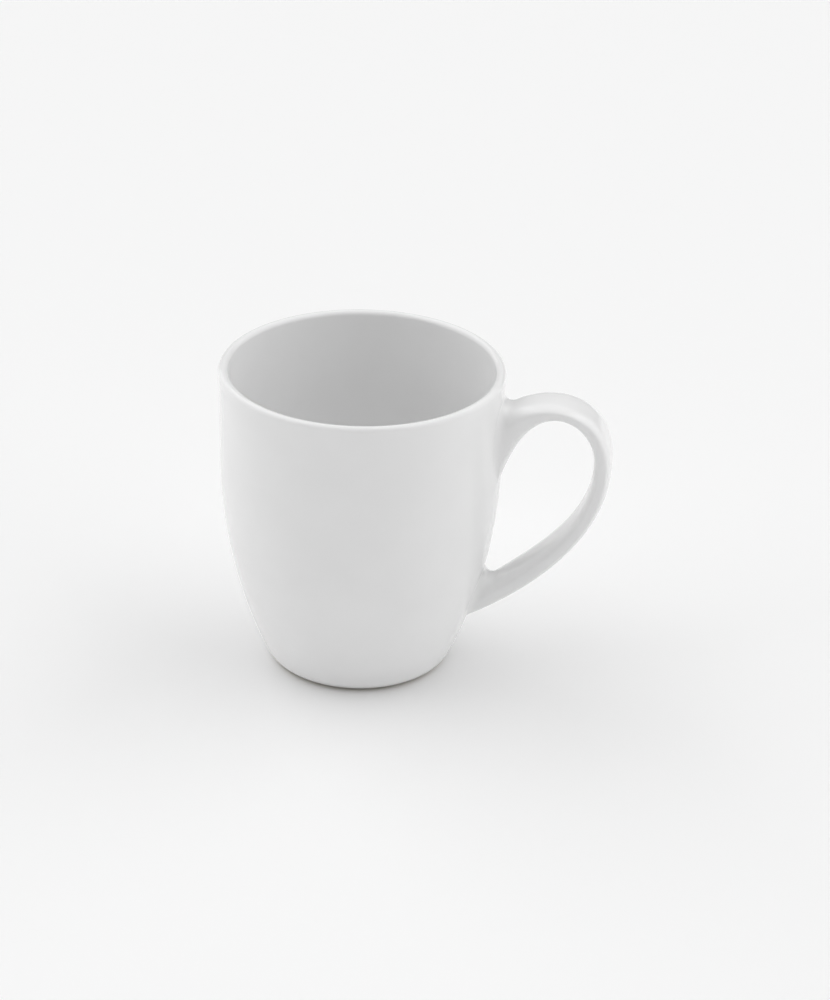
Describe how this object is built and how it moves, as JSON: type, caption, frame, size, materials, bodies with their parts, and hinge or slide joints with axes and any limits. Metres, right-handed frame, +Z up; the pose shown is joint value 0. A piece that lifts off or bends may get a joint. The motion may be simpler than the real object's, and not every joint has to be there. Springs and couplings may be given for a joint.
{
  "type": "ceramic mug",
  "caption": "Plain glazed ceramic mug with a curved base, a soft flared rim and a looped strap handle, open at the top.",
  "frame": {"origin": "centre of the foot ring, in the plane of the table", "axes": "+Z up along the mug's axis, +X towards the handle"},
  "size_m": [0.123, 0.0888, 0.1],
  "materials": {
    "fired_clay": "bare vitrified clay, matt and very slightly rough",
    "slip": "fired joining slip, matt",
    "white_glaze": "smooth gloss white glaze",
    "liner_glaze": "smooth gloss white glaze"
  },
  "bodies": {
    "root": {"cup_body": "fired_clay", "handle": "fired_clay", "upper_joint_slip": "slip", "lower_joint_slip": "slip", "outer_glaze": "white_glaze", "inner_glaze": "liner_glaze", "handle_glaze": "white_glaze", "base_glaze": "white_glaze"}
  },
  "joints": []
}
